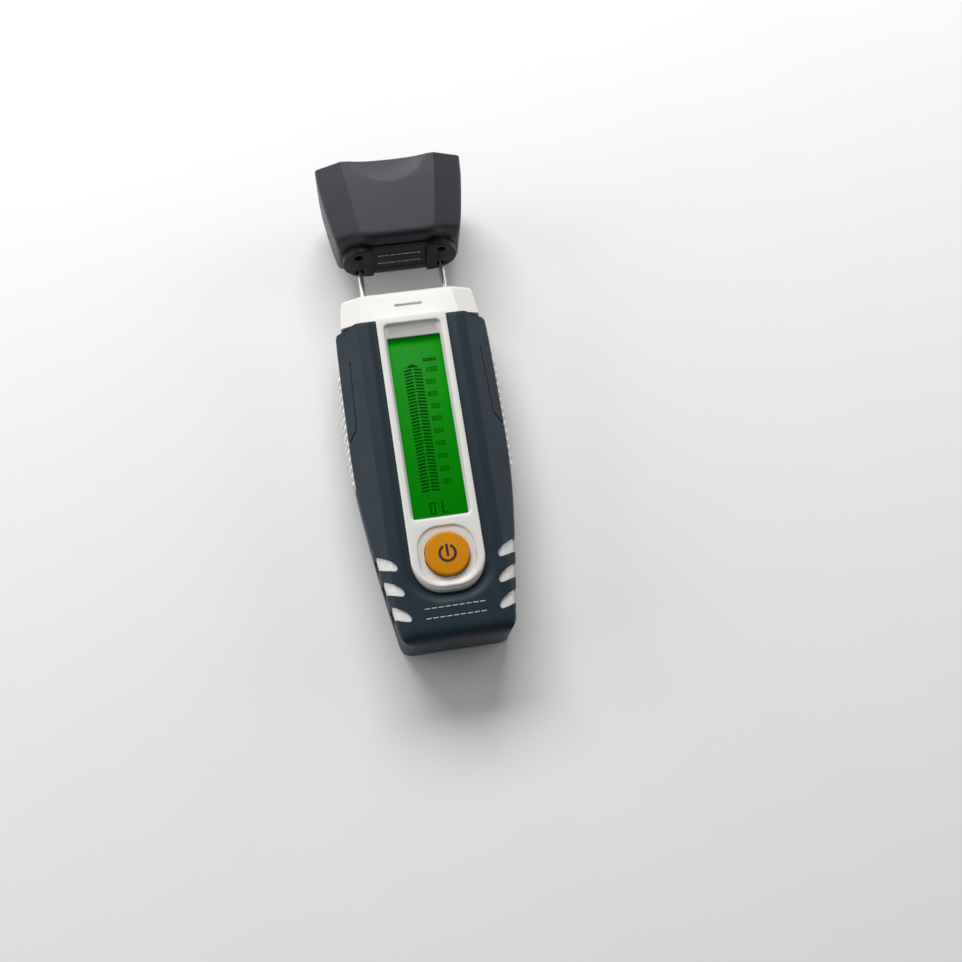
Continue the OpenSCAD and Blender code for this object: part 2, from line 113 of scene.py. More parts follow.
def cleanMesh(mesh, gap):                     # merges doubled points and turns all faces outwards
    bm = bmesh.new()
    bm.from_mesh(mesh)
    bmesh.ops.remove_doubles(bm, verts=bm.verts, dist=gap)
    bmesh.ops.recalc_face_normals(bm, faces=bm.faces)
    bm.to_mesh(mesh)
    bm.free()


def buildObject(name, verts, faces, angle=38):
    mesh = bpy.data.meshes.new(name)
    mesh.from_pydata([Vector(v) * mm for v in verts], [], faces)
    cleanMesh(mesh, 1e-7)
    obj = linkObject(name, mesh)
    shade(obj, angle)
    return obj


def shade(obj, angle):
    obj.data.polygons.foreach_set("use_smooth", [True] * len(obj.data.polygons))
    obj.data.set_sharp_from_angle(angle=math.radians(angle))
    obj.data.update()


def loft(name, rings, closed=True, capStart=True, capEnd=True, angle=38, wrap=False):
    # skins a list of rings that all have the same number of points
    n = len(rings[0])
    verts = [p for ring in rings for p in ring]
    faces = []
    rows = len(rings)
    for i in range(rows if wrap else rows - 1):
        a, b = i * n, ((i + 1) % rows) * n
        for j in range(n if closed else n - 1):
            k = (j + 1) % n
            faces.append((a + j, a + k, b + k, b + j))
    if capStart:
        faces.append(tuple(range(n - 1, -1, -1)))
    if capEnd:
        faces.append(tuple(range((rows - 1) * n, rows * n)))
    return buildObject(name, verts, faces, angle)


def prism(name, outline, z0, z1, angle=38):
    return loft(name, [[(x, y, z0) for x, y in outline], [(x, y, z1) for x, y in outline]], angle=angle)


def lathe(name, profile, centre, axis="Z", steps=96, angle=38):
    rings = []
    for r, h in profile:
        ring = []
        for i in range(steps):
            a = 2 * math.pi * i / steps
            c, s = r * math.cos(a), r * math.sin(a)
            ring.append((centre[0] + c, centre[1] + s, centre[2] + h) if axis == "Z"
                        else (centre[0] + c, centre[1] + h, centre[2] + s))
        rings.append(ring)
    return loft(name, rings, angle=angle)


def plate(name, outline, holes, z0, z1, edge, segments=4, plane="XY", at=0.0):
    # flat plate with holes and rounded edges, made from filled curves and turned into a mesh
    curve = bpy.data.curves.new(name, "CURVE")
    curve.dimensions = "2D"
    curve.fill_mode = "BOTH"
    for loop in [outline, *holes]:
        spline = curve.splines.new("POLY")
        spline.points.add(len(loop) - 1)
        for point, (x, y) in zip(spline.points, loop):
            point.co = (x * mm, y * mm, 0, 1)
        spline.use_cyclic_u = True
    curve.extrude = max((z1 - z0) / 2 - edge, 1e-4) * mm
    curve.bevel_depth = edge * mm
    curve.bevel_resolution = segments
    curve.offset = -edge * mm
    holder = linkObject(name, curve)
    bpy.context.view_layer.update()
    mesh = bpy.data.meshes.new_from_object(holder.evaluated_get(bpy.context.evaluated_depsgraph_get()))
    bpy.data.objects.remove(holder)
    bpy.data.curves.remove(curve)
    shift = Matrix.Translation((0, 0, (z0 + z1) / 2 * mm))
    if plane == "XZ":
        shift = Matrix.Translation((0, (z0 + z1) / 2 * mm, at * mm)) @ Matrix.Rotation(math.pi / 2, 4, "X")
    mesh.transform(shift)
    cleanMesh(mesh, 2e-7)
    obj = linkObject(name, mesh)
    shade(obj, 40)
    return obj


def applyAll(obj):
    mesh = bpy.data.meshes.new_from_object(obj.evaluated_get(bpy.context.evaluated_depsgraph_get()))
    obj.modifiers.clear()
    old = obj.data
    obj.data = mesh
    bpy.data.meshes.remove(old)
    return obj


def cut(obj, cutters, operation="DIFFERENCE"):
    bpy.context.view_layer.update()
    for cutter in cutters:
        mod = obj.modifiers.new("cut", "BOOLEAN")
        mod.operation = operation
        mod.solver = "EXACT"
        mod.object = cutter
    bpy.context.view_layer.update()
    applyAll(obj)
    for cutter in cutters:
        bpy.data.objects.remove(cutter)
    return obj


def soften(obj, width, angle=40, segments=2):
    mod = obj.modifiers.new("edge", "BEVEL")
    mod.width = width * mm
    mod.segments = segments
    mod.limit_method = "ANGLE"
    mod.angle_limit = math.radians(angle)
    mod.harden_normals = False
    bpy.context.view_layer.update()
    applyAll(obj)
    shade(obj, 50)
    return obj


def flatten(obj):                             # big faces keep their own normals
    mod = obj.modifiers.new("flat", "WEIGHTED_NORMAL")
    mod.weight = 100
    mod.keep_sharp = True
    applyAll(obj)
    return obj


def keepSide(obj, z, above):                  # cuts the piece at a height and closes the cut
    bm = bmesh.new()
    bm.from_mesh(obj.data)
    geom = bm.verts[:] + bm.edges[:] + bm.faces[:]
    out = bmesh.ops.bisect_plane(bm, geom=geom, plane_co=(0, 0, z * mm), plane_no=(0, 0, 1),
                                 clear_inner=above, clear_outer=not above)
    edges = [e for e in out["geom_cut"] if isinstance(e, bmesh.types.BMEdge)]
    bmesh.ops.contextual_create(bm, geom=edges)
    bm.to_mesh(obj.data)
    bm.free()
    return obj


def copyOf(obj, name):
    return linkObject(name, obj.data.copy())


def joinAll(name, parts):                     # merges small pieces into one mesh
    bm = bmesh.new()
    for part in parts:
        bm.from_mesh(part.data)
        bpy.data.objects.remove(part)
    mesh = bpy.data.meshes.new(name)
    bm.to_mesh(mesh)
    bm.free()
    obj = linkObject(name, mesh)
    shade(obj, 40)
    return obj


def brick(name, x0, x1, y0, y1, z0, z1):
    return prism(name, [(x0, y0), (x1, y0), (x1, y1), (x0, y1)], z0, z1)


def give(obj, body, slotName, material, *nodes):
    obj.data.materials.clear()
    obj.data.materials.append(material)
    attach(obj, body)
    if nodes:
        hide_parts(*nodes)
    return obj


# materials

def nodeTree(name):
    mat = bpy.data.materials.new(name)
    mat.use_nodes = True
    tree = mat.node_tree
    shader = next(n for n in tree.nodes if n.type == "BSDF_PRINCIPLED")
    return mat, tree, shader


def linkNoise(tree, coords, scale, detail, rough=0.5, distort=0.0):
    noise = tree.nodes.new("ShaderNodeTexNoise")
    noise.inputs["Scale"].default_value = scale
    noise.inputs["Detail"].default_value = detail
    noise.inputs["Roughness"].default_value = rough
    noise.inputs["Distortion"].default_value = distort
    tree.links.new(coords.outputs["Object"], noise.inputs["Vector"])
    return noise.outputs["Fac"]


def spread(tree, source, fromLow, fromHigh, toLow, toHigh):
    node = tree.nodes.new("ShaderNodeMapRange")
    for key, value in (("From Min", fromLow), ("From Max", fromHigh), ("To Min", toLow), ("To Max", toHigh)):
        node.inputs[key].default_value = value
    tree.links.new(source, node.inputs["Value"])
    return node.outputs["Result"]


def blendColour(tree, factor, first, second, mode="MIX"):
    node = tree.nodes.new("ShaderNodeMix")
    node.data_type = "RGBA"
    node.blend_type = mode
    tree.links.new(factor, node.inputs["Factor"])
    for socket, value in ((node.inputs[6], first), (node.inputs[7], second)):
        if isinstance(value, tuple):
            socket.default_value = (*value, 1)
        else:
            tree.links.new(value, socket)
    return node.outputs[2]


def multiply(tree, first, second):
    node = tree.nodes.new("ShaderNodeMath")
    node.operation = "MULTIPLY"
    tree.links.new(first, node.inputs[0])
    tree.links.new(second, node.inputs[1])
    return node.outputs[0]


def addBump(tree, height, strength, distance, below=None):
    node = tree.nodes.new("ShaderNodeBump")
    node.inputs["Strength"].default_value = strength
    node.inputs["Distance"].default_value = distance
    tree.links.new(height, node.inputs["Height"])
    if below is not None:
        tree.links.new(below, node.inputs["Normal"])
    return node.outputs["Normal"]


def moulded(name, spec):
    # moulded plastic or rubber: two-tone base, fine grain, soft sheen patches, worn edges, dust
    mat, tree, shader = nodeTree(name)
    coords = tree.nodes.new("ShaderNodeTexCoord")
    base = spec["colour"]
    tone = spread(tree, linkNoise(tree, coords, spec.get("toneScale", 60), 5, 0.6), 0.3, 0.7, 0, 1)
    shadeOf = tuple(c * spec.get("toneDepth", 0.86) for c in base)
    colour = blendColour(tree, tone, shadeOf, base)
    dots = linkNoise(tree, coords, spec.get("speckScale", 2600), 3, 0.7)
    speck = spread(tree, dots, 0.62, 0.74, 0, spec.get("speck", 0.25))
    paler = tuple(min(1, c * 1.7 + 0.02) for c in base)
    colour = blendColour(tree, speck, colour, spec.get("speckColour", paler))
    geometry = tree.nodes.new("ShaderNodeNewGeometry")
    rim = spread(tree, geometry.outputs["Pointiness"], 0.515, 0.57, 0, spec.get("wear", 0.3))
    patch = spread(tree, linkNoise(tree, coords, 420, 6, 0.65), 0.42, 0.62, 0, 1)
    rubbed = tuple(min(1, c * 2.2 + 0.03) for c in base)
    colour = blendColour(tree, multiply(tree, rim, patch), colour, spec.get("wearColour", rubbed))
    if "endShadeBand" in spec:                     # painted shade: darker band at one end of the piece, partly the dark end moulding wrapping round
        split = tree.nodes.new("ShaderNodeSeparateXYZ")
        tree.links.new(coords.outputs["Object"], split.inputs[0])
        band = spread(tree, split.outputs["Y"], *spec["endShadeBand"], 0, 1)
        colour = blendColour(tree, band, spec["endShadeColour"], colour)
    tree.links.new(colour, shader.inputs["Base Color"])
    rough, swing = spec["rough"], spec.get("roughSwing", 0.06)
    sheen = spread(tree, linkNoise(tree, coords, 110, 6, 0.62, 0.4), 0.3, 0.7, rough - swing, rough + swing)
    tree.links.new(sheen, shader.inputs["Roughness"])
    shader.inputs["IOR"].default_value = 1.48
    shader.inputs["Specular IOR Level"].default_value = spec.get("specular", 0.5)
    shader.inputs["Coat Weight"].default_value = spec.get("coat", 0.0)
    shader.inputs["Coat Roughness"].default_value = 0.25
    shader.inputs["Subsurface Weight"].default_value = spec.get("inner", 0.0)
    shader.inputs["Subsurface Radius"].default_value = (0.0012, 0.0010, 0.0008)
    shader.inputs["Subsurface Scale"].default_value = 1.0
    grain = tree.nodes.new("ShaderNodeTexVoronoi")
    grain.inputs["Scale"].default_value = spec.get("grainScale", 2400)
    tree.links.new(coords.outputs["Object"], grain.inputs["Vector"])
    fine = addBump(tree, grain.outputs["Distance"], spec.get("grain", 0.18), 0.00006)
    wave = addBump(tree, linkNoise(tree, coords, 130, 4, 0.55), spec.get("wave", 0.08), 0.0004, fine)
    tree.links.new(wave, shader.inputs["Normal"])
    return mat


def metal(name, spec):
    # turned or plated metal with stretched tool marks and dull patches
    mat, tree, shader = nodeTree(name)
    coords = tree.nodes.new("ShaderNodeTexCoord")
    mapping = tree.nodes.new("ShaderNodeMapping")
    mapping.inputs["Scale"].default_value = spec.get("stretch", (1, 12, 1))
    tree.links.new(coords.outputs["Object"], mapping.inputs["Vector"])
    marks = tree.nodes.new("ShaderNodeTexNoise")
    marks.inputs["Scale"].default_value = 900
    marks.inputs["Detail"].default_value = 6
    tree.links.new(mapping.outputs["Vector"], marks.inputs["Vector"])
    stain = spread(tree, linkNoise(tree, coords, 240, 6, 0.7), 0.4, 0.7, 0, 0.35)
    tree.links.new(blendColour(tree, stain, spec["colour"], tuple(c * 0.7 for c in spec["colour"])),
                   shader.inputs["Base Color"])
    shader.inputs["Metallic"].default_value = 1.0
    tree.links.new(spread(tree, marks.outputs["Fac"], 0.3, 0.7, spec["rough"] - 0.06, spec["rough"] + 0.1),
                   shader.inputs["Roughness"])
    bump = addBump(tree, marks.outputs["Fac"], spec.get("bump", 0.15), 0.00005)
    tree.links.new(bump, shader.inputs["Normal"])
    return mat


rubber = dict(
    colour=(0.0095, 0.0235, 0.036), rough=0.52, specular=0.3, toneDepth=0.90, speck=0.10, speckScale=2000,
    grain=0.22, grainScale=2600, wave=0.05, wear=0.07, wearColour=(0.06, 0.078, 0.098), roughSwing=0.07)
whiteShell = dict(
    colour=(0.80, 0.79, 0.755), rough=0.36, toneDepth=0.965, toneScale=45, speck=0.05,
    speckColour=(0.6, 0.58, 0.53), grain=0.06, wave=0.04, wear=0.10, wearColour=(0.88, 0.88, 0.86),
    roughSwing=0.05, inner=0.05)
capPlastic = dict(
    colour=(0.033, 0.034, 0.045), rough=0.46, specular=0.35, toneDepth=0.90, speck=0.12, speckScale=3000,
    grain=0.30, grainScale=3400, wave=0.05, wear=0.35, wearColour=(0.15, 0.155, 0.175), roughSwing=0.05,
    # painted shade: dark band near the cap's closed end, partly the black end moulding's own colour
    endShadeBand=(0.0853, 0.0864), endShadeColour=(0.003, 0.006, 0.007))
plateBlack = dict(
    colour=(0.0035, 0.006, 0.0068), rough=0.45, specular=0.22, speck=0.10, grain=0.24, grainScale=3200,
    wear=0.3, wearColour=(0.06, 0.065, 0.075))
amber = dict(
    colour=(0.66, 0.25, 0.0), rough=0.42, specular=0.2, toneDepth=0.93, toneScale=160, speck=0.06,
    speckColour=(0.5, 0.2, 0.01), grain=0.10, wave=0.05, wear=0.12, wearColour=(0.75, 0.38, 0.05), inner=0.06)
inkBlack = dict(colour=(0.012, 0.011, 0.010), rough=0.5, grain=0.1, wear=0.0, speck=0.1)
markGrey = dict(colour=(0.60, 0.62, 0.65), rough=0.55, toneDepth=0.7, toneScale=700, grain=0.15, wear=0.0)
coverDark = dict(rubber, colour=(0.016, 0.022, 0.030), rough=0.5, grain=0.35)
chipBlack = dict(colour=(0.02, 0.02, 0.022), rough=0.45, grain=0.2, wear=0.2)
boardGreen = dict(colour=(0.015, 0.12, 0.05), rough=0.32, toneScale=300, toneDepth=0.6, grain=0.15, wear=0.2,
                  coat=0.3)
diffuser = dict(colour=(0.72, 0.82, 0.68), rough=0.3, inner=0.2, grain=0.05, wear=0.0)
plungerTan = dict(colour=(0.55, 0.50, 0.40), rough=0.4, grain=0.1)
cellJacket = dict(colour=(0.03, 0.03, 0.04), rough=0.22, grain=0.05, coat=0.5, wear=0.1)
resistorTan = dict(colour=(0.42, 0.30, 0.17), rough=0.3, grain=0.1, coat=0.4)

materials = {
    "jacket": moulded("jacketRubber", rubber),
    "white": moulded("whiteShell", whiteShell),
    "cap": moulded("capPlastic", capPlastic),
    "plate": moulded("plateBlack", plateBlack),
    "amber": moulded("amberButton", amber),
    "ink": moulded("inkBlack", inkBlack),
    "marks": moulded("markGrey", markGrey),
    "cover": moulded("coverDark", coverDark),
    "chip": moulded("chipBlack", chipBlack),
    "board": moulded("boardGreen", boardGreen),
    "diffuser": moulded("diffuser", diffuser),
    "plunger": moulded("plungerTan", plungerTan),
    "cell": moulded("cellJacket", cellJacket),
    "resistor": moulded("resistorTan", resistorTan),
    "steel": metal("electrodeSteel", dict(colour=(0.84, 0.83, 0.80), rough=0.40, bump=0.3)),
    "screw": metal("screwSteel", dict(colour=(0.56, 0.56, 0.56), rough=0.32, stretch=(1, 1, 1))),
    "nickel": metal("nickelPlate", dict(colour=(0.64, 0.64, 0.61), rough=0.28)),
    "brass": metal("contactBrass", dict(colour=(0.72, 0.54, 0.24), rough=0.3)),
}


def litDisplay(spec):
    # backlit green panel, brighter at the top, with a painted shadow along its top edge and the fine cell
    # texture of the glass
    mat, tree, shader = nodeTree("litDisplay")
    coords = tree.nodes.new("ShaderNodeTexCoord")
    split = tree.nodes.new("ShaderNodeSeparateXYZ")
    tree.links.new(coords.outputs["Object"], split.inputs[0])
    along = spread(tree, split.outputs["Y"], -0.019, 0.049, spec["footGlow"], spec["topGlow"])
    patch = spread(tree, linkNoise(tree, coords, 70, 3), 0.3, 0.7, 0.94, 1.05)
    # painted shadow: the glow dims along the top edge, where the recess wall shades the panel
    shadow = spread(tree, split.outputs["Y"], 0.0462, 0.0486, 1.0, 0.3)
    glow = multiply(tree, multiply(tree, along, patch), shadow)
    shader.inputs["Base Color"].default_value = (*spec["base"], 1)
    shader.inputs["Emission Color"].default_value = (*spec["glow"], 1)
    tree.links.new(glow, shader.inputs["Emission Strength"])
    sheen = spread(tree, linkNoise(tree, coords, 900, 5), 0.3, 0.7, 0.4, 0.55)
    tree.links.new(sheen, shader.inputs["Roughness"])
    shader.inputs["Specular IOR Level"].default_value = 0.1
    bump = addBump(tree, linkNoise(tree, coords, 3000, 4), 0.05, 0.00003)
    tree.links.new(bump, shader.inputs["Normal"])
    return mat


def clearWindow():
    # thin clear sheet: mostly see-through, with a soft mirror at glancing angles and faint smears
    mat, tree, shader = nodeTree("clearWindow")
    coords = tree.nodes.new("ShaderNodeTexCoord")
    out = next(n for n in tree.nodes if n.type == "OUTPUT_MATERIAL")
    through = tree.nodes.new("ShaderNodeBsdfTransparent")
    through.inputs["Color"].default_value = (0.97, 0.985, 0.97, 1)
    gloss = tree.nodes.new("ShaderNodeBsdfGlossy")
    gloss.inputs["Color"].default_value = (0.05, 0.05, 0.05, 1)
    smear = spread(tree, linkNoise(tree, coords, 160, 6, 0.6), 0.35, 0.7, 0.10, 0.2)
    tree.links.new(smear, gloss.inputs["Roughness"])
    tree.links.new(addBump(tree, linkNoise(tree, coords, 90, 3), 0.03, 0.0001), gloss.inputs["Normal"])
    fresnel = tree.nodes.new("ShaderNodeFresnel")
    fresnel.inputs["IOR"].default_value = 1.1
    mix = tree.nodes.new("ShaderNodeMixShader")
    tree.links.new(fresnel.outputs[0], mix.inputs["Fac"])
    tree.links.new(through.outputs[0], mix.inputs[1])
    tree.links.new(gloss.outputs[0], mix.inputs[2])
    tree.links.new(mix.outputs[0], out.inputs["Surface"])
    tree.nodes.remove(shader)
    return mat


print("materials ready")

# case

case = dict(
    halfWide=29.0, shoulderHalf=27.7, footHalf=19.9, top=56.0, foot=-60.0, high=30.6, split=10.45,
    parting=0.16,
    sectionPoints=[(0, 30.6), (15.6, 30.6), (19.5, 29.4), (27.7, 21.6), (29.0, 10.6), (28.4, 7.0),
                   (21.0, 0.0), (0, 0)],
    sectionRadii=[0, 5.0, 1.6, 1.8, 3.0, 3.0, 2.5, 0],
    footRound=5.0, backRound=4.5, topRound=1.0, stations=150, trough=0.9, troughWide=4.2, moat=0.8)
bezel = dict(
    half=12.5, end=-43.0, endRadius=10.5, high=32.0, edge=0.75, tail=1.15, tailStart=-27.0, recessHalf=10.1,
    recessTop=53.0, recessFoot=-18.9, recessRound=1.8, dishHalf=9.6, dishRound=7.4, dishDeep=0.8)


def sideOutline():
    top, foot = case["top"], case["foot"]
    s, w, f = case["shoulderHalf"], case["halfWide"], case["footHalf"]
    line = [(s - 3, top)]
    line += cubic((s - 3, top), (s - 0.8, top - 0.1), (s, top - 0.6), (s + 0.1, top - 2.8), 24)
    line += cubic((s + 0.1, top - 2.8), (s + 0.9, top - 15), (w, 30), (w, 14), 60)
    line += cubic((w, 14), (w - 0.4, 2), (w - 4.4, -30), (f, foot + 6), 80)
    line += cubic((f, foot + 6), (f - 0.4, foot + 2.2), (f - 1.8, foot + 0.1), (f - 5.5, foot), 40)
    return line


outlineLine = sideOutline()


def halfAt(y):
    for (x0, y0), (x1, y1) in zip(outlineLine, outlineLine[1:]):
        if y1 <= y <= y0:
            t = 0 if y0 == y1 else (y0 - y) / (y0 - y1)
            return x0 + (x1 - x0) * t
    return outlineLine[-1][0] if y < 0 else outlineLine[0][0]


def bezelOutline(grow=0.0, tail=0.0):
    # bezel edge, anticlockwise from the top right; tail stretches the rounded end downwards
    h, r, end, top = bezel["half"], bezel["endRadius"], bezel["end"], case["top"]
    loop = roundCorners([(h, top), (-h, top), (-h, end), (h, end)], [0, 0, r, r], 20)
    sides = []
    for i, (x, y) in enumerate(loop):
        sides.append((x, y))
        nx, ny = loop[(i + 1) % len(loop)]
        if abs(nx - x) < 1e-6 and abs(ny - y) > 20:     # long straight sides get points of their own
            steps = 40
            sides += [(x, y + (ny - y) * k / steps) for k in range(1, steps)]
    out = []
    for i, (x, y) in enumerate(sides):
        px, py = sides[i - 1]
        nx, ny = sides[(i + 1) % len(sides)]
        normal = Vector((ny - py, px - nx))
        if normal.length > 0:
            normal.normalize()
        pull = tail * smooth((bezel["tailStart"] - y) / (bezel["tailStart"] - end))
        gx, gy = normal * grow
        if y > top - 0.01:
            gx, gy = (grow if x > 0 else -grow), 0
        out.append((x + gx, y + gy - pull))
    return out


def bezelDistance(x, y):                      # distance outside the bezel's foot outline
    h, r = bezel["half"], bezel["endRadius"]
    end = bezel["end"] - bezel["tail"]
    cy = end + r
    ax = abs(x)
    if y > cy:
        return ax - h
    if ax < h - r:
        return end - y
    return math.hypot(ax - (h - r), y - cy) - r


def frontRelief(x, y):                        # how far the jacket front sinks beside the bezel
    d = bezelDistance(x, y)
    low = bezel["end"] - bezel["tail"]
    deep = case["trough"] + case["moat"] * smooth((low + 9 - y) / 9)
    if d < 0:
        return deep
    return deep * (1 - smooth(d / case["troughWide"]))


def denseLine(line, gap):                     # adds points so that no step is much longer than the gap
    dense = [line[0]]
    for (x0, y0), (x1, y1) in zip(line, line[1:]):
        steps = max(1, round(math.hypot(x1 - x0, y1 - y0) / gap))
        dense += [(x0 + (x1 - x0) * k / steps, y0 + (y1 - y0) * k / steps) for k in range(1, steps + 1)]
    return dense


rightSection = denseLine(roundCorners(case["sectionPoints"], case["sectionRadii"], 7, closed=False), 0.9)
fullSection = rightSection + [(-x, z) for x, z in reversed(rightSection[1:-1])]


def caseRing(y, inset):                       # one slice of the case; inset draws it inwards
    yy = clamp(y, case["foot"], case["top"])
    half = halfAt(yy)
    fr, br, tr = case["footRound"], case["backRound"], case["topRound"]
    f = yy - case["foot"]
    high = case["high"] - (fr - math.sqrt(max(fr * fr - (fr - f) ** 2, 0)) if f < fr else 0)
    low = br - math.sqrt(max(br * br - (br - f) ** 2, 0)) if f < br else 0
    t = case["top"] - yy
    if t < tr:
        drop = tr - math.sqrt(max(tr * tr - (tr - t) ** 2, 0))
        high -= drop
        low += drop * 0.6
    ring = []
    for x, z in fullSection:
        s = 1 if x >= 0 else -1
        zz = z
        if z > 25 and abs(x) < 19:
            zz -= frontRelief(x, yy)
        xx = softMin(abs(x), half, 1.6)
        zz = softMax(softMin(zz, high, 0.6), low, 0.6)
        xx -= inset * smooth(abs(x) / 27)
        zz = zz - inset if zz > 16 else zz + inset * smooth((16 - zz) / 10)
        ring.append((s * max(xx, 0), y, zz))
    return ring


def caseStations():
    top, foot = case["top"], case["foot"]
    ys = [foot + 6.5 * (1 - math.cos(math.pi / 2 * i / 16)) for i in range(17)]
    n = case["stations"]
    ys += [ys[-1] + (top - 4.5 - ys[-1]) * i / n for i in range(1, n + 1)]
    ys += [top - 4.5 * math.cos(math.pi / 2 * i / 12) for i in range(1, 13)]
    return ys


def caseSolid(name, inset=0.0):
    return loft(name, [caseRing(y, inset) for y in caseStations()], angle=40)


pads = dict(count=3, foot=-34.8, pitch=8.8, tip=17.1, tipStep=1.15, sunk=0.75, outer=34)


def swooshOutline(i, grow):                   # one white swoosh of the right side, seen from the front
    y = pads["foot"] - pads["pitch"] * i
    tip = pads["tip"] - pads["tipStep"] * i
    outer = pads["outer"]
    line = [(outer, y + 6), (outer, y + 11.5)]
    line += cubic((outer, y + 11.5), (tip + 8, y + 8.2), (tip + 0.9, y + 4.2), (tip, y + 1.7), 18)
    line += cubic((tip, y + 1.7), (tip - 0.3, y + 0.5), (tip + 0.2, y), (tip + 0.9, y), 8)
    line += cubic((tip + 0.9, y), (tip + 4, y + 0.6), (tip + 9, y + 3.4), (outer, y + 6), 10)[:-1]
    if grow == 0:
        return line
    out = []
    for k, p in enumerate(line):
        a, b = line[k - 1], line[(k + 1) % len(line)]
        normal = Vector((b[1] - a[1], a[0] - b[0]))
        if normal.length > 0:
            normal.normalize()
        out.append((p[0] - normal.x * grow, p[1] - normal.y * grow))
    return out


def mirrored(outline):
    return [(-x, y) for x, y in reversed(outline)]


def swooshPrisms(grow):
    made = []
    for i in range(pads["count"]):
        line = swooshOutline(i, grow)
        made.append(prism(f"swooshCutR{i}", line, 14 - grow, 36))
        made.append(prism(f"swooshCutL{i}", mirrored(line), 14 - grow, 36))
    return made


def surfaceHigh(x, y):                        # height of the jacket front at a spot on its right half
    high = 12
    for (x0, z0), (x1, z1) in zip(rightSection, rightSection[1:]):
        if z1 < 10:
            break
        if x0 <= x <= x1 and x1 > x0:
            high = z0 + (z1 - z0) * (x - x0) / (x1 - x0)
            break
    return high - (frontRelief(x, y) if x < 19 else 0)


groove = dict(path=[(23.4, 43), (23.8, 31), (24.2, 18.2), (29.8, 11.4)], radii=[0, 60, 2.5, 0], half=0.24,
              deep=0.55, flank=27.2, flankSlope=5)


def grooveCutter(side):                       # narrow channel that follows the outer band of the jacket
    dense = denseLine(roundCorners(groove["path"], groove["radii"], 10, closed=False), 1.2)
    rings = []
    for i, (x, y) in enumerate(dense):
        a = dense[max(i - 1, 0)]
        b = dense[min(i + 1, len(dense) - 1)]
        run = Vector((b[0] - a[0], b[1] - a[1])).normalized()
        across = Vector((run.y, -run.x)) * groove["half"]
        z = surfaceHigh(min(x, groove["flank"]), y)
        deep = z - groove["deep"] - max(0, x - groove["flank"]) * groove["flankSlope"]
        ring = [(x - across.x, y - across.y, deep), (x + across.x, y + across.y, deep),
                (x + across.x, y + across.y, z + 3), (x - across.x, y - across.y, z + 3)]
        rings.append([(side * p[0], p[1], p[2]) for p in ring])
    return loft("groove", rings)


def buildJackets():                           # front and rear halves of the rubber jacket, cut from one solid
    solid = caseSolid("jacketFront")
    rear = copyOf(solid, "jacketRear")
    front = keepSide(solid, case["split"] + case["parting"] / 2, True)
    keepSide(rear, case["split"] - case["parting"] / 2, False)
    cutters = [prism("bezelCut", bezelOutline(0.08, bezel["tail"]), 26.5, 38)]
    cutters += swooshPrisms(0.0)
    cutters += [grooveCutter(1), grooveCutter(-1)]
    for s in (1, -1):
        x0, x1 = sorted((s * 25.0, s * 33.0))
        cutters.append(brick("slotCut", x0, x1, strip["foot"] - 0.15, strip["foot"] + strip["long"] + 0.15,
                             strip["low"] - 0.15, strip["low"] + strip["high"] + 0.15))
    cut(front, cutters)
    shade(front, 34)
    soften(front, 0.16, 42)
    give(front, "meter", "jacket_rubber", materials["jacket"], "grip_jacket_front")

    lo, hi = boxMm("battery_cover")
    half, long = hi.x + 0.3, hi.y + 0.3
    cutters = [brick("trackCut", -half, half, -64, long, lo.z + 0.95, hi.z + 0.3),
               brick("coverCut", -half + 1.2, half - 1.2, -64, long, -2, hi.z + 0.3)]
    for x, y in screwSpots():
        cutters.append(lathe("screwCut", [(2.7, -2), (2.7, 2.6)], (x, y, 0), steps=48))
    cut(rear, cutters)
    soften(rear, 0.16, 42)
    give(rear, "meter", "jacket_rubber", materials["jacket"], "grip_jacket_rear")


def screwSpots():
    lo, hi = boxMm("case_screws")
    out = []
    for y, x in ((lo.y + 2.4, 18.0), (hi.y - 2.4, 19.5)):
        out += [(x, y), (-x, y)]
    return out


def stripBox():
    lo, hi = boxMm("side_strip_right")
    return dict(foot=lo.y, long=hi.y - lo.y, low=lo.z, high=hi.z - lo.z, inner=26.4, ribInner=26.8,
                topInner=26.6, pitch=3.0, firstRib=0.9, ribLong=1.7, plainLong=12, plainRun=11.2,
                leanFrom=10.6, leanHigh=11.0, baseOut=-0.15, ribOut=0.62, topOut=0.1)


strip = stripBox()
buildJackets()
print("jacket ready")


def buildSwooshPads():                        # white areas of the shell that show through the jacket
    solid = caseSolid("swooshPads", inset=pads["sunk"])
    pieces = []
    for cutter in swooshPrisms(0.07):
        pad = copyOf(solid, "pad")
        cut(pad, [cutter], "INTERSECT")
        pieces.append(pad)
    bpy.data.objects.remove(solid)
    whole = joinAll("swooshPads", pieces)
    soften(whole, 0.15, 42)
    return give(whole, "meter", "white_shell", materials["white"])


